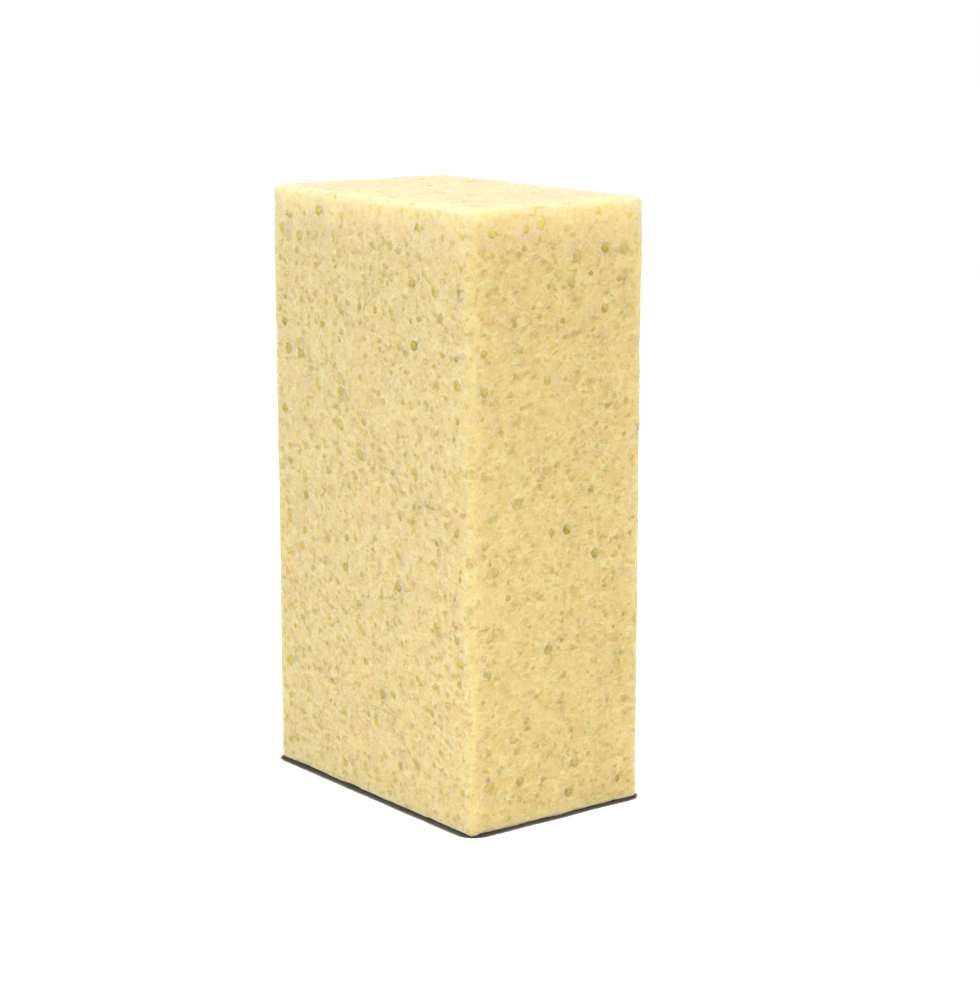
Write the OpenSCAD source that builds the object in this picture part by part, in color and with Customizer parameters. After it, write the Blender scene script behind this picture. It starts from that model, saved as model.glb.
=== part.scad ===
// A block of open-celled cleaning sponge, standing on its short end.
// It is one piece of foam, knife-cut on all six sides. Where the knife went through
// the bubbles of the foam, they lie open as round pits of many sizes and depths, and
// the walls of the largest have burst into a neighbour.
// Z is up along the block, X runs across the broad faces and Y through the thickness.

/* [Block] */
// Height of the block as it stands on its end
block_height = 200; // [80:1:300]
// Width of the two broad faces
block_width = 110; // [50:1:200]
// Thickness between the two broad faces
block_thickness = 70; // [30:1:120]
// Rounding of the cut edges and corners
edge_radius = 2; // [0.5:0.1:4]

/* [Open cells] */
// Mean distance between neighbouring open cells
cell_pitch = 10; // [9:0.1:24]
// Radius of the smallest bubbles
cell_radius_least = 0.9; // [0.5:0.05:1.2]
// Radius of the largest bubbles
cell_radius_most = 2.1; // [1.2:0.05:2.5]
// Bubbles of at least this radius have burst into a neighbour
burst_radius = 1.75; // [1.2:0.05:2.5]
// Foam left standing between two open cells
cell_wall = 0.6; // [0.3:0.1:1.2]
// How far above or below the cut a bubble's centre may lie, as a share of its radius
cut_spread = 0.6; // [0:0.05:0.7]
// Which of the endless sponges of this kind this one is
cell_seed = 23; // [1:1:99]

/* [Hidden] */
$fn = 32;
foam_colour = "#f2dd9f";

// The six cut faces: the turn that brings up to the way the face looks, its span
// along its own two directions, and its distance from the middle of the block.
FACES = [
    [[0, 0, 0], [block_width, block_thickness], block_height / 2],
    [[180, 0, 0], [block_width, block_thickness], block_height / 2],
    [[90, 0, 0], [block_width, block_height], block_thickness / 2],
    [[-90, 0, 0], [block_width, block_height], block_thickness / 2],
    [[0, 90, 0], [block_height, block_thickness], block_width / 2],
    [[0, -90, 0], [block_height, block_thickness], block_width / 2]
];

// Most bubbles are small: a higher power makes the large ones rarer.
size_skew = 1.6;

// The burst-in neighbour of a large bubble, in shares of that bubble's radius: how
// far it lies to the side, how much deeper, and its own radius.
neighbour_side = 0.8;
neighbour_depth = 0.4;
neighbour_radius = 0.65;

// A repeatable fraction from 0 to 1 that looks random: the tail of a scaled sine.
function fraction(key) =
    let (stretched = sin(key * 78.233) * 43758.5453)
    stretched - floor(stretched);

// One fraction for each face, column, row and purpose.
function draw(face, column, row, purpose) =
    fraction((((cell_seed * 6 + face) * 64 + column) * 64 + row) * 8 + purpose);

// The flat of a face between its rounded edges is shared out in an even number of
// plots each way, so that the middle of every face stays whole.
function flat_span(span) = span - 2 * edge_radius;
function plots_along(span) = 2 * max(1, round(flat_span(span) / (2 * cell_pitch)));
function plot_size(span) = flat_span(span) / plots_along(span);
function plot_middle(span, index) = (index + 0.5) * plot_size(span) - flat_span(span) / 2;

// A cell keeps to its own plot with all that has burst into it, half a wall clear of
// the plot's sides.
function has_neighbour(radius) = radius >= burst_radius;
function reach(radius) =
    radius * (has_neighbour(radius) ? neighbour_side + neighbour_radius : 1);
function free_play(span, radius) = max(0, (plot_size(span) - cell_wall) / 2 - reach(radius));

// The centre and the radius of the bubble in one plot, in its face's own frame,
// whose Z points out of the foam.
function bubble(face, column, row) =
    let (
        span = FACES[face][1],
        radius = cell_radius_least
            + (cell_radius_most - cell_radius_least)
            * pow(draw(face, column, row, 0), size_skew),
        along = 2 * draw(face, column, row, 1) - 1,
        across = 2 * draw(face, column, row, 2) - 1,
        lift = 2 * draw(face, column, row, 3) - 1
    )
    [
        [
            plot_middle(span.x, column) + along * free_play(span.x, radius),
            plot_middle(span.y, row) + across * free_play(span.y, radius),
            lift * cut_spread * radius
        ],
        radius
    ];

// From the centre of a large bubble to the centre of the neighbour burst into it.
function way_to_neighbour(face, column, row, radius) =
    let (heading = 360 * draw(face, column, row, 4))
    radius * [
        neighbour_side * cos(heading),
        neighbour_side * sin(heading),
        -neighbour_depth
    ];

// Brings a shape from a face's own frame to its place on the block.
module on_face(face) {
    translate([0, 0, block_height / 2])
        rotate(FACES[face][0])
            translate([0, 0, FACES[face][2]])
                children();
}

// Outline of one cross-section of the block, with its corners rounded.
module rounded_outline(size) {
    inset = size / 2 - [edge_radius, edge_radius];
    square([size.x, 2 * inset.y], center = true);
    square([2 * inset.x, size.y], center = true);
    for (side = [-1, 1], end = [-1, 1])
        translate([side * inset.x, end * inset.y])
            circle(edge_radius);
}

// The block before its cells open: what three rounded cuts at right angles leave.
module cut_block() {
    intersection() {
        for_height();
        for_thickness();
        for_width();
    }
}

module for_height() {
    linear_extrude(block_height)
        rounded_outline([block_width, block_thickness]);
}

module for_thickness() {
    translate([0, block_thickness / 2, block_height / 2])
        rotate([90, 0, 0])
            linear_extrude(block_thickness)
                rounded_outline([block_width, block_height]);
}

module for_width() {
    translate([-block_width / 2, 0, block_height / 2])
        rotate([90, 0, 90])
            linear_extrude(block_width)
                rounded_outline([block_thickness, block_height]);
}

// The bubble in one plot, with the neighbour that a large one has burst into.
module open_cell(face, column, row) {
    cell = bubble(face, column, row);
    radius = cell[1];
    translate(cell[0]) {
        sphere(radius);
        if (has_neighbour(radius))
            translate(way_to_neighbour(face, column, row, radius))
                sphere(neighbour_radius * radius);
    }
}

// All the bubbles that the knife opened on one face.
module open_cells(face) {
    span = FACES[face][1];
    on_face(face)
        for (column = [0 : plots_along(span.x) - 1], row = [0 : plots_along(span.y) - 1])
            open_cell(face, column, row);
}

module sponge_block() {
    color(foam_colour)
        difference() {
            cut_block();
            for (face = [0 : len(FACES) - 1])
                open_cells(face);
        }
}

sponge_block();
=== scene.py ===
"""A block of open-celled cleaning sponge, standing on its short end in soft studio light.

The block is one piece of soft foam, sawn on all six sides. The saw went through thousands
of bubbles. The large ones lie where the solid has them, and the small ones between them
are cut here. Sizes are in millimetres until a mesh is made, which is in metres.
"""

import logging
import math
import random
from collections import defaultdict
from dataclasses import dataclass
from enum import Enum
from typing import Any, Iterable, Iterator

import bmesh
import bpy
from mathutils import Euler, Matrix, Vector, noise


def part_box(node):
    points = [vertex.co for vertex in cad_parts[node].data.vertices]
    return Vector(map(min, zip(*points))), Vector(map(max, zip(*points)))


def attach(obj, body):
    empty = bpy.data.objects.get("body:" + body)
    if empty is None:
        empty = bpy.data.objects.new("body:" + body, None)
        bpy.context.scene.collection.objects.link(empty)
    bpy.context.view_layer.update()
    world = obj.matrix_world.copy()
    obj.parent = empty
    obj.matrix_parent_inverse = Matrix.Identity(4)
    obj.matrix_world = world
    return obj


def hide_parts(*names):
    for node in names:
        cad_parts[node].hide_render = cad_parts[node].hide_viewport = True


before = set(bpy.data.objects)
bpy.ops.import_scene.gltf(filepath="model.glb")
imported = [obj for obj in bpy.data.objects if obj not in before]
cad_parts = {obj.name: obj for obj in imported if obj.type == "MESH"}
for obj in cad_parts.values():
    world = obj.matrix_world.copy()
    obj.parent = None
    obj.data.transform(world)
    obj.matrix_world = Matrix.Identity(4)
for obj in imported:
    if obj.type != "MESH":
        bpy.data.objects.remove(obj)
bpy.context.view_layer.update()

MM = 0.001
NODE = "sponge_block"

log = logging.getLogger("sponge")


def linear(colour: str, alpha: float = 1.0) -> tuple[float, float, float, float]:
    """Turns an sRGB colour into the linear one that Blender shades with.

    Args:
        colour: the colour as six hex digits after a #.
        alpha: how opaque it is.

    Returns:
        Red, green, blue and alpha from 0 to 1.
    """
    parts = [int(colour[at : at + 2], 16) / 255 for at in (1, 3, 5)]
    red, green, blue = (
        part / 12.92 if part <= 0.04045 else ((part + 0.055) / 1.055) ** 2.4 for part in parts
    )
    return red, green, blue, alpha


def add_node(
    tree: bpy.types.NodeTree,
    kind: str,
    inputs: dict[str | int, Any] | None = None,
    **settings: Any,
) -> bpy.types.Node:
    """Adds a node with its settings and links.

    Args:
        tree: the node tree that gets it.
        kind: Blender's name for the kind of node.
        inputs: what each input socket holds, a value or the output socket that feeds it.
        settings: the node's own properties.

    Returns:
        The new node.
    """
    node = tree.nodes.new(kind)
    for name, value in settings.items():
        setattr(node, name, value)
    for name, value in (inputs or {}).items():
        if isinstance(value, bpy.types.NodeSocket):
            tree.links.new(value, node.inputs[name])
        else:
            node.inputs[name].default_value = value
    return node


def new_piece(name: str, shape: bmesh.types.BMesh) -> bpy.types.Object:
    """Makes an object at the origin from a bmesh, which it frees.

    Args:
        name: the object's name.
        shape: its mesh, in metres.

    Returns:
        The object, in the scene.
    """
    mesh = bpy.data.meshes.new(name)
    shape.to_mesh(mesh)
    shape.free()
    piece = bpy.data.objects.new(name, mesh)
    bpy.context.scene.collection.objects.link(piece)
    return piece


class CutFace(Enum):
    """The six sawn faces: the axis and angle that turn +Z onto each, and the axes of its two spans."""

    TOP = ("X", 0, (0, 1))
    UNDERSIDE = ("X", 180, (0, 1))
    FRONT = ("X", 90, (0, 2))
    BACK = ("X", -90, (0, 2))
    RIGHT = ("Y", 90, (2, 1))
    LEFT = ("Y", -90, (2, 1))

    @property
    def turn(self) -> Matrix:
        """The turn from the face's own frame, whose Z points out of the foam, to the block's."""
        return Matrix.Rotation(math.radians(self.value[1]), 4, self.value[0])

    @property
    def outward_axis(self) -> int:
        """Which of the block's axes the face looks along."""
        return 3 - sum(self.value[2])

    @property
    def outward(self) -> Vector:
        """The way the face looks, in the block's frame."""
        return self.turn.to_3x3() @ Vector((0, 0, 1))


@dataclass(frozen=True)
class Bubble:
    """A bubble of the foam that the saw went through.

    Attributes:
        centre: its middle, in millimetres in the block's frame.
        radius: its mean radius in millimetres.
        form: its stretch and turn, the identity for a round one.
        fineness: subdivisions of the icosphere that cuts it.
    """

    centre: Vector
    radius: float
    form: Matrix
    fineness: int

    def blow_into(self, shape: bmesh.types.BMesh, moulds: "Moulds") -> None:
        """Adds the bubble's wall to a mesh in metres."""
        wall = moulds.of(self.fineness).copy()
        place = Matrix.Translation(self.centre * MM)
        wall.transform(place @ self.form @ Matrix.Scale(self.radius * MM, 4))
        shape.from_mesh(wall)
        bpy.data.meshes.remove(wall)


class Moulds:
    """Round walls of radius 1, made once each, which the bubbles copy."""

    def __init__(self) -> None:
        """Starts with no mould."""
        self.by_fineness: dict[int, bpy.types.Mesh] = {}

    def of(self, fineness: int) -> bpy.types.Mesh:
        """The mould with that many subdivisions."""
        if fineness not in self.by_fineness:
            shape = bmesh.new()
            bmesh.ops.create_icosphere(shape, subdivisions=fineness, radius=1)
            mould = bpy.data.meshes.new("bubble_mould")
            shape.to_mesh(mould)
            shape.free()
            self.by_fineness[fineness] = mould
        return self.by_fineness[fineness]


class Neighbourhood:
    """Keeps bubbles by place, so that those near a bubble are found quickly."""

    def __init__(self, reach: float) -> None:
        """Starts empty, for bubbles whose centres lie at most reach apart when they touch."""
        self.reach = reach
        self.plots: dict[tuple[int, ...], list[tuple[Bubble, int]]] = defaultdict(list)

    def plot_of(self, bubble: Bubble) -> tuple[int, ...]:
        """The cube of space that the bubble's centre lies in."""
        return tuple(math.floor(part / self.reach) for part in bubble.centre)

    def add(self, bubble: Bubble, label: int = 0) -> None:
        """Keeps a bubble, with a number that goes with it."""
        self.plots[self.plot_of(bubble)].append((bubble, label))

    def overlapping(self, bubble: Bubble, share: float = 1.0) -> Iterator[int]:
        """Finds the bubbles that overlap one.

        Args:
            bubble: the bubble to look round.
            share: how near two centres count as overlapping, as a share of both radii.

        Yields:
            The number that goes with each.
        """
        x, y, z = self.plot_of(bubble)
        for dx in (-1, 0, 1):
            for dy in (-1, 0, 1):
                for dz in (-1, 0, 1):
                    for other, label in self.plots.get((x + dx, y + dy, z + dz), ()):
                        near = share * (other.radius + bubble.radius)
                        if (other.centre - bubble.centre).length < near:
                            yield label


@dataclass(frozen=True)
class LargeCells:
    """The large open cells, laid out by the same rule as in the solid, in millimetres.

    Attributes:
        pitch: mean distance between neighbours.
        radius_least: radius of the smallest.
        radius_most: radius of the largest.
        burst_radius: from this radius up, a bubble has burst into a neighbour.
        wall: foam left standing between two cells.
        spread: how far above or below the cut a centre lies, as a share of the radius.
        skew: the power that makes large bubbles rare.
        neighbour_side: how far the neighbour lies to the side, in radii.
        neighbour_depth: how much deeper it lies, in radii.
        neighbour_radius: its own radius, in radii.
        seed: which sponge this is.
        fineness: subdivisions of each bubble's icosphere.
    """

    pitch: float = 10
    radius_least: float = 0.9
    radius_most: float = 2.1
    burst_radius: float = 1.75
    wall: float = 0.6
    spread: float = 0.6
    skew: float = 1.6
    neighbour_side: float = 0.8
    neighbour_depth: float = 0.4
    neighbour_radius: float = 0.65
    seed: int = 23
    fineness: int = 2

    def draw(self, face: int, column: int, row: int, purpose: int) -> float:
        """One repeatable fraction for each face, column, row and purpose."""
        key = (((self.seed * 6 + face) * 64 + column) * 64 + row) * 8 + purpose
        stretched = math.sin(math.radians(math.fmod(key * 78.233, 360))) * 43758.5453
        return stretched - math.floor(stretched)

    def bubbles_on(self, block: "FoamBlock", face: CutFace) -> Iterator[Bubble]:
        """The bubbles of one face.

        Args:
            block: the block that they are in.
            face: the sawn face that opens them.

        Yields:
            Each bubble, and the neighbour that a large one has burst into.
        """
        number = list(CutFace).index(face)
        flats = [block.size[axis] - 2 * block.edge_radius for axis in face.value[2]]
        counts = [2 * max(1, round(flat / (2 * self.pitch))) for flat in flats]
        plots = [flat / count for flat, count in zip(flats, counts)]
        out = Matrix.Translation((0, 0, block.size[face.outward_axis] / 2))
        to_block = Matrix.Translation(block.middle) @ face.turn @ out
        for column in range(counts[0]):
            for row in range(counts[1]):
                draws = [self.draw(number, column, row, purpose) for purpose in range(5)]
                share = draws[0] ** self.skew
                radius = self.radius_least + (self.radius_most - self.radius_least) * share
                has_neighbour = radius >= self.burst_radius
                reach = radius * (self.neighbour_side + self.neighbour_radius if has_neighbour else 1)
                place = Vector((0, 0, (2 * draws[3] - 1) * self.spread * radius))
                for way, at in enumerate((column, row)):
                    play = max(0, (plots[way] - self.wall) / 2 - reach)
                    place[way] = (at + 0.5) * plots[way] - flats[way] / 2
                    place[way] += (2 * draws[way + 1] - 1) * play
                yield Bubble(to_block @ place, radius, Matrix(), self.fineness)
                if has_neighbour:
                    heading = 2 * math.pi * draws[4]
                    aside = self.neighbour_side * radius
                    place += Vector((aside * math.cos(heading), aside * math.sin(heading), 0))
                    place.z -= self.neighbour_depth * radius
                    own_radius = self.neighbour_radius * radius
                    yield Bubble(to_block @ place, own_radius, Matrix(), self.fineness)


@dataclass(frozen=True)
class SmallCells:
    """The small open cells that crowd between the large ones, in millimetres.

    Attributes:
        count: how many there are on the whole block.
        radius_least: radius of the smallest.
        radius_most: radius of the largest.
        skew: the power that makes the larger ones rare.
        lift_least: the lowest that a centre lies above the cut, as a share of the radius.
        lift_most: the highest.
        stretch: how much longer than wide a bubble may be.
        crowding: how near two centres may come, as a share of both radii.
        seed: starts the random draws.
    """

    count: int = 3250
    radius_least: float = 0.5
    radius_most: float = 1.05
    skew: float = 1.5
    lift_least: float = -0.1
    lift_most: float = 0.45
    stretch: float = 1.5
    crowding: float = 0.72
    seed: int = 5

    def bubbles_in(self, block: "FoamBlock", large: Iterable[Bubble]) -> Iterator[Bubble]:
        """Scatters the bubbles over the block's skin, at random but clear of each other's middles.

        Args:
            block: the block that they are in.
            large: the large bubbles, which they also keep off.

        Yields:
            Each bubble.
        """
        chance = random.Random(self.seed)
        taken = Neighbourhood(2 * LargeCells.radius_most)
        for bubble in large:
            taken.add(bubble)
        made = 0
        while made < self.count:
            radius = self.radius_least
            radius += (self.radius_most - self.radius_least) * chance.random() ** self.skew
            lift = chance.uniform(self.lift_least, self.lift_most) * radius
            centre = block.skin_point(chance, lift)
            long_way = chance.uniform(1, self.stretch) ** 0.5
            stretch = Matrix.Diagonal((long_way, 1 / long_way, 1, 1))
            turn = Euler([chance.uniform(0, math.tau) for _ in range(3)]).to_matrix().to_4x4()
            bubble = Bubble(centre, radius, turn @ stretch, 1)
            if next(taken.overlapping(bubble, self.crowding), None) is None:
                taken.add(bubble)
                made += 1
                yield bubble


@dataclass(frozen=True)
class ClosedCells:
    """One size of closed cell, which shows as a low hollow in the skin.

    Attributes:
        pitch_mm: mean distance between neighbours.
        share: how deep the deepest is, as a share of the relief.
        floor: radius of the flat floor, in pitches.
        rim: radius of the rim, in pitches.
        rarity: the power that makes the deep ones rare.
    """

    pitch_mm: float
    share: float
    floor: float = 0.1
    rim: float = 0.62
    rarity: float = 1.6


@dataclass(frozen=True)
class HydrophilicFoam:
    """Soft hydrophilic polyurethane foam, sawn dry and left bare.

    It is matt all over. Light goes a few millimetres into it and comes out warmer. Its pale
    edge band is partly rubbing and partly a painted glow, its top end is painted paler as lit
    from above, and its open cells have painted shade on their walls and painted light on their
    floors. Between the open cells its skin is a crumpled net of struts over closed cells, which
    show as low relief, with a painted highlight on the struts and painted shade in olive on the
    floors between them.
    """

    peach: str = "#e7c57e"
    lemon: str = "#e0c464"
    strut_highlight: str = "#ebd68a"
    hollow: str = "#d0b652"
    cell_wall_shade: str = "#dfc966"
    cell_floor_glow: str = "#f6eab0"
    shadow_depth: float = 0.35
    pinhole_shade: str = "#c6ac46"
    edge_wear_and_glow: str = "#efdca8"
    wear_and_glow: float = 0.55
    blotch_mm: float = 6
    warp_mm: float = 2.2
    warp_reach_mm: float = 1.5
    cells: tuple[ClosedCells, ...] = (ClosedCells(3.6, 1.2),)
    pinholes: ClosedCells = ClosedCells(3.2, 0.6, 0.04, 0.36, 1.0)
    slits: ClosedCells = ClosedCells(3.6, 0.3, 0.2, 0.5, 0.8)
    slit_mm: float = 4.6
    slit_width: float = 0.12
    ridges_mm: tuple[tuple[float, float], ...] = ((4.4, 0.6),)
    ridge_width: float = 0.12
    swells_mm: tuple[tuple[float, float], ...] = ((6.0, 1.0), (2.4, 0.5))
    swell_detail: float = 1.0
    flatness: float = 1.35
    relief_mm: float = 0.68
    lift: float = 0.1
    inside: float = 0.9
    reach_mm: float = 8
    reach_at_edge_mm: float = 25
    fuzz: float = 0.44
    fuzz_tint: str = "#fff8ea"
    fuzz_roughness: float = 0.8
    reach_of_blue: float = 0.8
    roughness: float = 0.85

    def hollows(
        self, tree: bpy.types.NodeTree, place: bpy.types.NodeSocket, kind: ClosedCells
    ) -> bpy.types.NodeSocket:
        """The relief of closed cells under the skin, each sunk by an amount of its own.

        Args:
            tree: the node tree.
            place: the place in millimetres.
            kind: which cells.

        Returns:
            0 on the struts, down to -1 on the floor of the deepest cells.
        """
        pattern = add_node(
            tree, "ShaderNodeTexVoronoi", {"Vector": place, "Scale": 1 / kind.pitch_mm}
        )
        sunk = add_node(
            tree,
            "ShaderNodeMapRange",
            {
                "Value": pattern.outputs["Distance"],
                "From Min": kind.floor,
                "From Max": kind.rim,
                "To Min": -1.0,
                "To Max": 0.0,
            },
            interpolation_type="SMOOTHSTEP",
        ).outputs["Result"]
        chance = add_node(
            tree, "ShaderNodeSeparateColor", {"Color": pattern.outputs["Color"]}
        ).outputs["Red"]
        amount = add_node(
            tree, "ShaderNodeMath", {0: chance, 1: kind.rarity}, operation="POWER"
        ).outputs["Value"]
        return add_node(
            tree, "ShaderNodeMath", {0: sunk, 1: amount}, operation="MULTIPLY"
        ).outputs["Value"]

    def crests(
        self, tree: bpy.types.NodeTree, place: bpy.types.NodeSocket, size: float, width: float
    ) -> bpy.types.NodeSocket:
        """Winding lines, where a noise passes through its middle.

        Args:
            tree: the node tree.
            place: the place in millimetres.
            size: the size of the noise in millimetres.
            width: how far from its middle the noise still counts.

        Returns:
            1 on the lines, and 0 away from them.
        """
        worms = add_node(
            tree,
            "ShaderNodeTexNoise",
            {"Vector": place, "Scale": 1 / size, "Detail": 1.0, "Roughness": 0.5},
        ).outputs["Fac"]
        from_crest = add_node(
            tree, "ShaderNodeMath", {0: worms, 1: 0.5}, operation="SUBTRACT"
        ).outputs["Value"]
        from_crest = add_node(
            tree, "ShaderNodeMath", {0: from_crest}, operation="ABSOLUTE"
        ).outputs["Value"]
        return add_node(
            tree,
            "ShaderNodeMapRange",
            {
                "Value": from_crest,
                "From Min": 0.0,
                "From Max": width,
                "To Min": 1.0,
                "To Max": 0.0,
            },
            interpolation_type="SMOOTHSTEP",
        ).outputs["Result"]

    def dress(self, piece: bpy.types.Object) -> bpy.types.Material:
        """Makes the foam's material and puts it on a piece.

        Args:
            piece: the piece, whose mesh has the attributes cell_depth and near_edge.

        Returns:
            The material.
        """
        material = bpy.data.materials.new("hydrophilic_foam_sawn")
        material.use_nodes = True
        tree = material.node_tree
        tree.nodes.clear()
        place = add_node(tree, "ShaderNodeTexCoord").outputs["Object"]
        per_mm = (1 / MM, 1 / MM, self.flatness / MM)
        in_mm = add_node(
            tree, "ShaderNodeMapping", {"Vector": place, "Scale": per_mm}
        ).outputs["Vector"]
        depth = add_node(tree, "ShaderNodeAttribute", attribute_name="cell_depth").outputs["Fac"]
        near_edge = add_node(tree, "ShaderNodeAttribute", attribute_name="near_edge").outputs["Fac"]

        warp = add_node(
            tree,
            "ShaderNodeTexNoise",
            {"Vector": in_mm, "Scale": 1 / self.warp_mm, "Detail": 1.0},
        ).outputs["Color"]
        shift = add_node(
            tree,
            "ShaderNodeVectorMath",
            {0: warp, 1: (0.5, 0.5, 0.5)},
            operation="SUBTRACT",
        ).outputs["Vector"]
        warped = add_node(
            tree,
            "ShaderNodeVectorMath",
            {0: shift, 1: (2 * self.warp_reach_mm,) * 3, 2: in_mm},
            operation="MULTIPLY_ADD",
        ).outputs["Vector"]
        skin_height = self.relief(tree, in_mm, warped)
        pinholes = self.hollows(tree, warped, self.pinholes)
        torn = self.hollows(tree, in_mm, self.slits)
        slits = add_node(
            tree,
            "ShaderNodeMath",
            {0: torn, 1: self.crests(tree, warped, self.slit_mm, self.slit_width)},
            operation="MULTIPLY",
        ).outputs["Value"]
        height = self.add_layer(tree, skin_height, pinholes, self.pinholes.share)
        height = self.add_layer(tree, height, slits, self.slits.share)
        openings = add_node(
            tree, "ShaderNodeMath", {0: pinholes, 1: slits}, operation="MINIMUM"
        ).outputs["Value"]

        blotches = add_node(
            tree,
            "ShaderNodeTexNoise",
            {"Vector": in_mm, "Scale": 1 / self.blotch_mm, "Detail": 3.0, "Roughness": 0.6},
        ).outputs["Fac"]
        hue = add_node(
            tree,
            "ShaderNodeMapRange",
            {"Value": blotches, "From Min": 0.35, "From Max": 0.65},
        ).outputs["Result"]
        skin = add_node(
            tree,
            "ShaderNodeMix",
            {"Factor": hue, 6: linear(self.peach), 7: linear(self.lemon)},
            data_type="RGBA",
        ).outputs[2]
        # Painted highlight: raised relief is mixed towards a paler colour, standing for light on the
        # struts.
        raised = add_node(
            tree,
            "ShaderNodeMapRange",
            {"Value": skin_height, "From Min": -0.05, "From Max": 0.55},
        ).outputs["Result"]
        # Painted shade: sunken relief is mixed towards olive, standing for the self-shadow of closed cells
        # too small for the mesh.
        sunken = add_node(
            tree,
            "ShaderNodeMapRange",
            {"Value": skin_height, "From Min": -0.15, "From Max": -1.0},
        ).outputs["Result"]
        lit = add_node(
            tree,
            "ShaderNodeMix",
            {"Factor": raised, 6: skin, 7: linear(self.strut_highlight)},
            data_type="RGBA",
        ).outputs[2]
        marked = add_node(
            tree,
            "ShaderNodeMix",
            {"Factor": sunken, 6: lit, 7: linear(self.hollow)},
            data_type="RGBA",
        ).outputs[2]
        # Painted shade: pinholes and slits are mixed towards a dark olive, the shade inside them.
        opened = add_node(
            tree, "ShaderNodeMapRange", {"Value": openings, "From Min": 0.0, "From Max": -1.0}
        ).outputs["Result"]
        pierced = add_node(
            tree,
            "ShaderNodeMix",
            {"Factor": opened, 6: marked, 7: linear(self.pinhole_shade)},
            data_type="RGBA",
        ).outputs[2]
        # Pale edge band: partly rubbing and partly a painted glow of light coming through the foam; the top
        # end is painted paler as lit from above.
        worn_and_glowing = add_node(
            tree, "ShaderNodeMath", {0: near_edge, 1: self.wear_and_glow}, operation="MULTIPLY"
        ).outputs["Value"]
        edged = add_node(
            tree,
            "ShaderNodeMix",
            {"Factor": worn_and_glowing, 6: pierced, 7: linear(self.edge_wear_and_glow)},
            data_type="RGBA",
        ).outputs[2]
        # Painted shade: the walls of open cells darken towards olive with depth.
        below_skin = add_node(
            tree, "ShaderNodeMapRange", {"Value": depth, "From Max": self.shadow_depth}
        ).outputs["Result"]
        shadowed = add_node(
            tree,
            "ShaderNodeMix",
            {"Factor": below_skin, 6: edged, 7: linear(self.cell_wall_shade)},
            data_type="RGBA",
        ).outputs[2]
        # Painted light: the floors of deep open cells are lightened again, as if lit by light scattered
        # into them.
        well_below = add_node(
            tree, "ShaderNodeMapRange", {"Value": depth, "From Min": self.shadow_depth}
        ).outputs["Result"]
        coloured = add_node(
            tree,
            "ShaderNodeMix",
            {"Factor": well_below, 6: shadowed, 7: linear(self.cell_floor_glow)},
            data_type="RGBA",
        ).outputs[2]
        reach = add_node(
            tree,
            "ShaderNodeMapRange",
            {
                "Value": near_edge,
                "To Min": self.reach_mm * MM,
                "To Max": self.reach_at_edge_mm * MM,
            },
        ).outputs["Result"]
        crispness = add_node(
            tree, "ShaderNodeMapRange", {"Value": near_edge, "To Min": 1.0, "To Max": 0.35}
        ).outputs["Result"]
        normal = add_node(
            tree,
            "ShaderNodeBump",
            {"Height": height, "Distance": self.relief_mm * MM, "Strength": crispness},
        ).outputs["Normal"]
        foam = add_node(
            tree,
            "ShaderNodeBsdfPrincipled",
            {
                "Base Color": coloured,
                "Normal": normal,
                "Roughness": self.roughness,
                "IOR": 1.45,
                "Subsurface Weight": self.inside,
                "Subsurface Radius": (1.0, 1.0, self.reach_of_blue),
                "Subsurface Scale": reach,
                "Sheen Weight": self.fuzz,
                "Sheen Roughness": self.fuzz_roughness,
                "Sheen Tint": linear(self.fuzz_tint),
            },
        )
        add_node(tree, "ShaderNodeOutputMaterial", {"Surface": foam.outputs["BSDF"]})
        piece.data.materials.clear()
        piece.data.materials.append(material)
        return material

    def relief(
        self, tree: bpy.types.NodeTree, place: bpy.types.NodeSocket, warped: bpy.types.NodeSocket
    ) -> bpy.types.NodeSocket:
        """The whole low relief of the skin.

        Args:
            tree: the node tree.
            place: the place in millimetres.
            warped: the same, pushed about so that the cells are uneven.

        Returns:
            The height: 0 is the mean skin, and 1 is relief_mm above it.
        """
        height = None
        for kind in self.cells:
            layer = self.hollows(tree, warped, kind)
            height = self.add_layer(tree, height, layer, kind.share)
        for size, share in self.ridges_mm:
            layer = self.crests(tree, warped, size, self.ridge_width)
            height = self.add_layer(tree, height, layer, share)
        for size, share in self.swells_mm:
            noise_fac = add_node(
                tree,
                "ShaderNodeTexNoise",
                {"Vector": place, "Scale": 1 / size, "Detail": self.swell_detail, "Roughness": 0.5},
            ).outputs["Fac"]
            layer = add_node(
                tree, "ShaderNodeMath", {0: noise_fac, 1: 0.5}, operation="SUBTRACT"
            ).outputs["Value"]
            height = self.add_layer(tree, height, layer, share)
        return add_node(tree, "ShaderNodeMath", {0: height, 1: self.lift}, operation="ADD").outputs["Value"]

    def add_layer(
        self,
        tree: bpy.types.NodeTree,
        height: bpy.types.NodeSocket | None,
        layer: bpy.types.NodeSocket,
        share: float,
    ) -> bpy.types.NodeSocket:
        """Adds a share of one layer to the height so far, which may be nothing yet."""
        return add_node(
            tree,
            "ShaderNodeMath",
            {0: layer, 1: share, 2: 0.0 if height is None else height},
            operation="MULTIPLY_ADD",
        ).outputs["Value"]


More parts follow.
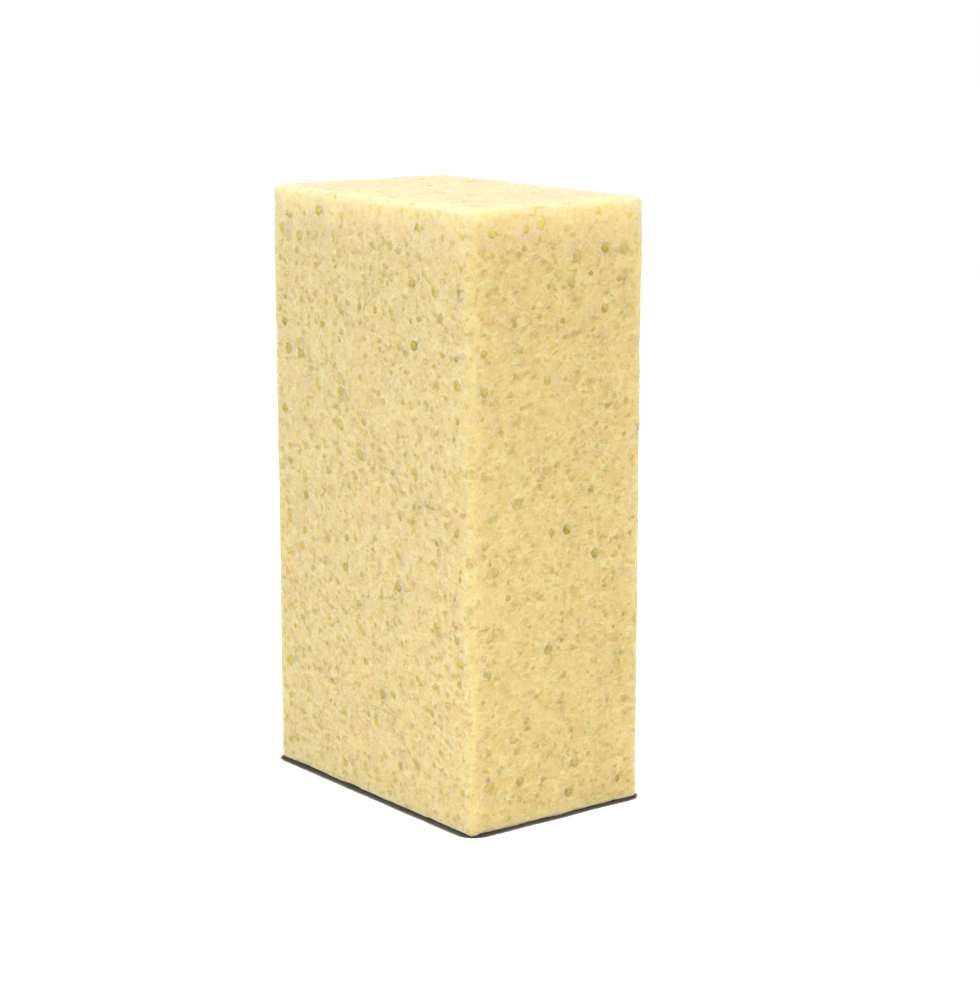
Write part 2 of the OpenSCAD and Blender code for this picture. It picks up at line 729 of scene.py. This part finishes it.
@dataclass(frozen=True)
class BakeSheet:
    """The flat map of the block that its colours are baked on: its six sides in two rows.

    Each side is laid flat as a saw would see it, so that the baked cells are as sharp on
    one as on another.

    Attributes:
        rows: the sides from left to right, the lower row first, each with the way that
            runs to the right on the sheet and the one that runs up, so that none is mirrored.
        gap: space round each side, in millimetres.
        facing: how many millimetres nearer a side a polygon counts when it looks that way.
    """

    rows: tuple[tuple[tuple[CutFace, str, str], ...], ...] = (
        ((CutFace.FRONT, "X", "Z"), (CutFace.BACK, "-X", "Z"), (CutFace.RIGHT, "Y", "Z")),
        ((CutFace.LEFT, "Z", "Y"), (CutFace.TOP, "-Y", "X"), (CutFace.UNDERSIDE, "Y", "X")),
    )
    gap: float = 1.5
    facing: float = 1.5

    def placing(self, size: Vector) -> tuple[dict[CutFace, Matrix], float]:
        """Places the sides on the sheet.

        Args:
            size: the block's size in millimetres.

        Returns:
            For each side, what takes a place seen from the block's middle to the sheet, and
            the sheet's own side in millimetres.
        """
        places = {}
        widest = 0.0
        bottom = self.gap
        for row in self.rows:
            left = self.gap
            tallest = 0.0
            for side, across, up in row:
                ways = [self.unit(across), self.unit(up)]
                width, height = (abs(way.dot(size)) for way in ways)
                corner = Vector((left + width / 2, bottom + height / 2, 0))
                turn = Matrix((*ways, side.outward)).to_4x4()
                places[side] = Matrix.Translation(corner) @ turn
                left += width + self.gap
                tallest = max(tallest, height)
            widest = max(widest, left)
            bottom += tallest + self.gap
        return places, max(widest, bottom)

    def unit(self, way: str) -> Vector:
        """The unit vector that a way such as -X names."""
        along = Vector([float(axis == way[-1]) for axis in "XYZ"])
        return -along if way.startswith("-") else along

    def draw_on(self, mesh: bpy.types.Mesh, block: "FoamBlock") -> None:
        """Writes the map on a mesh, each polygon on the side that it lies nearest to."""
        places, sheet = self.placing(block.size)
        outwards = [(side, side.outward, block.size[side.outward_axis] / 2) for side in CutFace]
        spots = [vert.co / MM - block.middle for vert in mesh.vertices]
        flat = [0.0] * (2 * len(mesh.loops))
        for polygon in mesh.polygons:
            centre = polygon.center / MM - block.middle
            side = max(
                outwards,
                key=lambda way: way[1].dot(centre) - way[2] + self.facing * way[1].dot(polygon.normal),
            )[0]
            for loop in polygon.loop_indices:
                spot = places[side] @ spots[mesh.loops[loop].vertex_index]
                flat[2 * loop] = spot.x / sheet
                flat[2 * loop + 1] = spot.y / sheet
        mesh.uv_layers.new(name="OFBake").data.foreach_set("uv", flat)


@dataclass
class FoamBlock:
    """The sponge: one rounded block of foam with open cells on every side.

    Attributes:
        size: width, thickness and height in millimetres, from the solid.
        middle: the middle of the block in millimetres, from the solid.
        edge_radius: rounding of its edges, as in the solid.
        edge_steps: segments of that rounding.
        tile: the size of the squares that the flats are cut into.
        unevenness: how far the skin strays from flat, and over what distance, in layers:
            the saw's sway, the swell of the cells beneath, and the crumbled rims.
        dip: how far the skin sinks towards the rim of an open cell.
        deep: the depth at which a cell counts as dark.
        worn_and_glowing: how far in from its edges the foam is paled and smoothed, partly by rubbing and
            partly as a painted glow.
        worn_and_glowing_top: the same for the edges of the top end, where the pale band is mostly a painted
            glow of light coming through from the lit top.
        painted_light_of_end: how pale the middle of the top end is painted beside those, painted light.
        wear_and_glow_elsewhere: how pale the other edges are beside those, partly rubbing and partly
            painted glow.
        finish: the foam's material.
        sheet: the map that it is baked on.
    """

    size: Vector
    middle: Vector
    edge_radius: float = 2
    edge_steps: int = 4
    tile: float = 6
    unevenness: tuple[tuple[float, float], ...] = ((0.25, 14), (0.22, 4.2), (0.12, 1.7))
    dip: float = 0.25
    deep: float = 1.6
    worn_and_glowing: float = 6
    worn_and_glowing_top: float = 18
    painted_light_of_end: float = 0.9
    wear_and_glow_elsewhere: float = 0.25
    large: LargeCells = LargeCells()
    small: SmallCells = SmallCells()
    finish: HydrophilicFoam = HydrophilicFoam()
    sheet: BakeSheet = BakeSheet()

    def skin_point(self, chance: random.Random, lift: float) -> Vector:
        """A random place on the block's skin.

        Args:
            chance: the source of the draws.
            lift: how far above the skin it is.

        Returns:
            The place in millimetres.
        """
        half = self.size / 2
        areas = [half.y * half.z, half.x * half.z, half.x * half.y]
        axis = chance.choices(range(3), areas)[0]
        on_box = Vector([chance.uniform(-1, 1) * part for part in half])
        on_box[axis] = math.copysign(half[axis], on_box[axis])
        core = half - Vector([self.edge_radius] * 3)
        nearest = Vector([max(-most, min(most, part)) for part, most in zip(on_box, core)])
        outward = (on_box - nearest).normalized()
        return self.middle + nearest + outward * (self.edge_radius + lift)

    def depth_of(self, place: Vector) -> float:
        """How deep a place, in millimetres, lies under the rounded block's skin."""
        core = self.size / 2 - Vector([self.edge_radius] * 3)
        beyond = [abs(part) - most for part, most in zip(place - self.middle, core)]
        outside = Vector([max(part, 0) for part in beyond]).length
        return self.edge_radius - outside - min(max(beyond), 0)

    def wear_and_glow_at(self, place: Vector) -> float:
        """How pale a place in millimetres is made, partly rubbing and partly painted glow: 1 on the block's
        edges, and 0 away from them.
        """
        to_sides = [most - abs(part) for part, most in zip(place - self.middle, self.size / 2)]
        to_edge = sorted(to_sides)[1]
        to_top = self.middle.z + self.size.z / 2 - place.z
        to_top_edge = max(to_top, min(to_sides[:2]))
        # The band under the top edges is mostly painted glow, and the middle of the top end is painted
        # light.
        top_wear_and_light = max(
            max(0.0, 1 - to_top_edge / self.worn_and_glowing_top),
            self.painted_light_of_end * max(0.0, 1 - to_top / self.worn_and_glowing),
        )
        return max(top_wear_and_light, self.wear_and_glow_elsewhere * max(0.0, 1 - to_edge / self.worn_and_glowing))

    def sawn_block(self) -> bmesh.types.BMesh:
        """The block before its cells open, with its flats cut into squares."""
        shape = bmesh.new()
        stretch = Matrix.Diagonal((*(self.size * MM), 1))
        place = Matrix.Translation(self.middle * MM)
        bmesh.ops.create_cube(shape, size=1, matrix=place @ stretch)
        bmesh.ops.bevel(
            shape,
            geom=shape.edges[:],
            offset=self.edge_radius * MM,
            segments=self.edge_steps,
            profile=0.5,
            affect="EDGES",
            material=-1,
        )
        for axis in range(3):
            flat = self.size[axis] - 2 * self.edge_radius
            cuts = round(flat / self.tile)
            for cut in range(1, cuts):
                across = Vector((0, 0, 0))
                across[axis] = 1
                at = self.middle + across * (cut / cuts - 0.5) * flat
                bmesh.ops.bisect_plane(
                    shape,
                    geom=shape.verts[:] + shape.edges[:] + shape.faces[:],
                    plane_co=at * MM,
                    plane_no=across,
                )
        return shape

    def bubbles(self) -> list[Bubble]:
        """All the bubbles that the saw opened, the large ones first."""
        large = [b for face in CutFace for b in self.large.bubbles_on(self, face)]
        return large + list(self.small.bubbles_in(self, large))

    def batches(self, bubbles: Iterable[Bubble]) -> list[list[Bubble]]:
        """Sorts bubbles so that no two in one batch overlap, because each batch is one cut.

        Args:
            bubbles: the bubbles to sort.

        Returns:
            The batches.
        """
        placed = Neighbourhood(2 * self.large.radius_most)
        batches: list[list[Bubble]] = []
        for bubble in bubbles:
            used = set(placed.overlapping(bubble, 1.3))
            number = next(n for n in range(len(batches) + 1) if n not in used)
            if number == len(batches):
                batches.append([])
            batches[number].append(bubble)
            placed.add(bubble, number)
        return batches

    def open_cells(self, piece: bpy.types.Object) -> None:
        """Cuts all the bubbles out of a piece, and applies the cuts to its mesh."""
        moulds = Moulds()
        batches = self.batches(self.bubbles())
        for batch in batches:
            shape = bmesh.new()
            for bubble in batch:
                bubble.blow_into(shape, moulds)
            cutter = new_piece("bubbles", shape)
            cut = piece.modifiers.new("open_cells", "BOOLEAN")
            cut.operation = "DIFFERENCE"
            cut.solver = "MANIFOLD"
            cut.object = cutter
            graph = bpy.context.evaluated_depsgraph_get()
            opened = bpy.data.meshes.new_from_object(piece.evaluated_get(graph))
            piece.modifiers.clear()
            uncut, piece.data = piece.data, opened
            bpy.data.meshes.remove(uncut)
            bpy.data.meshes.remove(cutter.data)
        log.info("%d bubbles opened in %d cuts", sum(map(len, batches)), len(batches))

    def uneven(self, place: Vector) -> Vector:
        """Where a place of the smooth block lies on the uneven one."""
        moved = place.copy()
        for far, over in self.unevenness:
            moved += noise.noise_vector(place / over) * far
        moved.z = max(moved.z, self.middle.z - self.size.z / 2)
        return moved

    def finish_mesh(self, mesh: bpy.types.Mesh) -> None:
        """Triangulates the mesh, roughens it, and writes its shading, depth and map."""
        shape = bmesh.new()
        shape.from_mesh(mesh)
        bmesh.ops.triangulate(shape, faces=shape.faces[:])
        depths = [self.depth_of(vert.co / MM) for vert in shape.verts]
        wear_and_glow = [self.wear_and_glow_at(vert.co / MM) for vert in shape.verts]
        for vert, depth in zip(shape.verts, depths):
            on_rim = abs(depth) < 0.01 and any(
                depths[edge.other_vert(vert).index] > 0.05 for edge in vert.link_edges
            )
            sunk = vert.normal * (self.dip if on_rim else 0)
            vert.co = self.uneven(vert.co / MM - sunk) * MM
        for face in shape.faces:
            face.smooth = True
        shape.to_mesh(mesh)
        shape.free()
        shares = [max(0.0, min(1.0, depth / self.deep)) for depth in depths]
        for name, values in (("cell_depth", shares), ("near_edge", wear_and_glow)):
            mesh.attributes.new(name, "FLOAT", "POINT").data.foreach_set("value", values)
        self.sheet.draw_on(mesh, self)

    def build(self) -> bpy.types.Object:
        """Makes the whole sponge, hangs it on the root body, hides the solid's mesh and logs its faces.

        Returns:
            The piece.
        """
        piece = new_piece("sponge_foam", self.sawn_block())
        self.open_cells(piece)
        self.finish_mesh(piece.data)
        self.finish.dress(piece)
        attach(piece, "root")
        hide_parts(NODE)
        log.info("%s has %d faces", piece.name, len(piece.data.polygons))
        return piece


@dataclass(frozen=True)
class Viewpoint:
    """Where the camera stands, found by fitting the block's corners in the photograph.

    Attributes:
        azimuth: degrees round the block from its front.
        elevation: degrees above the horizon.
        distance: metres back from the block's middle.
        aside: metres to the camera's right of that line.
        above: metres above it.
        focal_pixels: focal length in the pixels of a picture 981 high.
    """

    azimuth: float = 52.37
    elevation: float = 11.52
    distance: float = 0.8728
    aside: float = 0.012
    above: float = -0.0003
    focal_pixels: float = 2608
    picture_pixels: float = 981

    def place_camera(self, target: Vector) -> bpy.types.Object:
        """Puts the camera in the scene.

        Args:
            target: the block's middle in metres.

        Returns:
            The camera.
        """
        lens = bpy.data.cameras.new("camera")
        lens.sensor_width = 36
        lens.lens = self.focal_pixels * lens.sensor_width / self.picture_pixels
        lens.clip_start = 0.01
        lens.clip_end = 50
        camera = bpy.data.objects.new("camera", lens)
        bpy.context.scene.collection.objects.link(camera)
        azimuth, elevation = math.radians(self.azimuth), math.radians(self.elevation)
        back = Vector(
            (
                math.sin(azimuth) * math.cos(elevation),
                -math.cos(azimuth) * math.cos(elevation),
                math.sin(elevation),
            )
        )
        facing = back.to_track_quat("Z", "Y")
        aside = facing @ Vector((self.aside, self.above, 0))
        camera.location = target + back * self.distance + aside
        camera.rotation_euler = facing.to_euler()
        bpy.context.scene.camera = camera
        return camera


@dataclass(frozen=True)
class Softbox:
    """A square soft lamp, which the camera doesn't see.

    Attributes:
        name: the lamp's name.
        place: where it hangs, in metres.
        size: its side in metres.
        power: its power in watts.
        colour: the colour of its light.
    """

    name: str
    place: tuple[float, float, float]
    size: float
    power: float
    colour: str = "#ffffff"

    def hang(self, target: Vector) -> None:
        """Hangs the lamp so that it looks at a target in metres."""
        lamp = bpy.data.lights.new(self.name, "AREA")
        lamp.shape = "SQUARE"
        lamp.size = self.size
        lamp.energy = self.power
        lamp.color = linear(self.colour)[:3]
        holder = bpy.data.objects.new(self.name, lamp)
        holder.location = self.place
        holder.rotation_euler = (holder.location - target).to_track_quat("Z", "Y").to_euler()
        holder.visible_camera = False
        bpy.context.scene.collection.objects.link(holder)


@dataclass(frozen=True)
class Studio:
    """A white sweep under a large soft lamp, with weaker ones at both sides and in front.

    The lamp at the right is a little warmer than the one at the left, as the two sides of
    the block show.

    Attributes:
        floor_radius: radius of the floor in metres.
        sky: strength of the light from all round.
        lamps: the soft lamps.
        background_gain: how many times brighter than paper the camera sees the floor.
        contact_shadow_mm: how far out from the block the dark line under it reaches, a painted shadow.
        contact_shadow: the colour of that painted shadow.
    """

    floor_radius: float = 1.5
    sky: float = 0.36
    lamps: tuple[Softbox, ...] = (
        Softbox("overhead_softbox", (0.08, -0.08, 1.3), 0.9, 12.6),
        Softbox("left_softbox", (-0.7, -1.3, 0.4), 0.8, 5.1, "#f6f9ff"),
        Softbox("right_softbox", (1.1, 1.1, 0.45), 0.8, 6.3, "#fff5e2"),
        Softbox("low_softbox", (0.3, -0.3, 0.03), 0.2, 0.5, "#fafcff"),
    )
    background_gain: float = 2.1
    contact_shadow_mm: float = 2.8
    contact_shadow: str = "#5a5a5c"

    def white_where_seen(
        self, tree: bpy.types.NodeTree, seen: bpy.types.NodeSocket, lit: bpy.types.NodeSocket
    ) -> bpy.types.NodeSocket:
        """Shows one shader to the camera, gloss and glass, and lights the object with another.

        Args:
            tree: the node tree.
            seen: the shader that is seen.
            lit: the shader that gives light.

        Returns:
            The mixed shader.
        """
        path = add_node(tree, "ShaderNodeLightPath")
        seen_rays = path.outputs["Is Camera Ray"]
        for name in ("Is Glossy Ray", "Is Transmission Ray"):
            seen_rays = add_node(
                tree, "ShaderNodeMath", {0: seen_rays, 1: path.outputs[name]}, operation="MAXIMUM"
            ).outputs["Value"]
        return add_node(
            tree, "ShaderNodeMixShader", {0: seen_rays, 1: lit, 2: seen}
        ).outputs["Shader"]

    def light_sky(self) -> None:
        """Makes the world: even soft light, and white where it is seen."""
        world = bpy.data.worlds.new("sweep")
        world.use_nodes = True
        tree = world.node_tree
        tree.nodes.clear()
        seen = add_node(tree, "ShaderNodeBackground", {"Strength": 1.0}).outputs["Background"]
        lit = add_node(tree, "ShaderNodeBackground", {"Strength": self.sky}).outputs["Background"]
        for background in (seen, lit):
            background.node.inputs["Color"].default_value = (1, 1, 1, 1)
        add_node(
            tree, "ShaderNodeOutputWorld", {"Surface": self.white_where_seen(tree, seen, lit)}
        )
        bpy.context.scene.world = world

    def lay_floor(self) -> bpy.types.Object:
        """Makes the floor, matt white paper that keeps the block's shadow."""
        shape = bmesh.new()
        bmesh.ops.create_circle(shape, cap_ends=True, segments=96, radius=self.floor_radius)
        floor = new_piece("floor", shape)
        material = bpy.data.materials.new("white_paper_sweep")
        material.use_nodes = True
        tree = material.node_tree
        tree.nodes.clear()
        # Painted shadow: where ambient occlusion finds the block close by, the floor that the camera sees
        # turns dark grey, a dark line at the block's foot.
        openness = add_node(
            tree,
            "ShaderNodeAmbientOcclusion",
            {"Distance": 2 * self.contact_shadow_mm * MM},
            samples=16,
        ).outputs["AO"]
        clear = add_node(
            tree,
            "ShaderNodeMapRange",
            {"Value": openness, "From Min": 0.74, "From Max": 0.8},
        ).outputs["Result"]
        bright = self.background_gain
        paper = add_node(
            tree,
            "ShaderNodeMix",
            {"Factor": clear, 6: linear(self.contact_shadow), 7: (bright, bright, bright, 1)},
            data_type="RGBA",
        ).outputs[2]
        seen = add_node(tree, "ShaderNodeBsdfDiffuse", {"Color": paper}).outputs["BSDF"]
        lit = add_node(tree, "ShaderNodeBsdfDiffuse", {"Color": linear("#fafafa")}).outputs["BSDF"]
        add_node(
            tree, "ShaderNodeOutputMaterial", {"Surface": self.white_where_seen(tree, seen, lit)}
        )
        floor.data.materials.append(material)
        return floor

    def build(self, target: Vector) -> None:
        """Sets up the floor, the sky and the lamps round a target in metres."""
        self.light_sky()
        self.lay_floor()
        for lamp in self.lamps:
            lamp.hang(target)
        bpy.context.scene.view_settings.view_transform = "Standard"


def main() -> None:
    """Builds the camera, the studio and the sponge."""
    logging.basicConfig(level=logging.INFO, format="%(message)s")
    low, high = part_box(NODE)
    target = (low + high) / 2
    Viewpoint().place_camera(target)
    Studio().build(target)
    block = FoamBlock(size=(high - low) / MM, middle=target / MM)
    block.build()


if __name__ == "__main__":
    main()
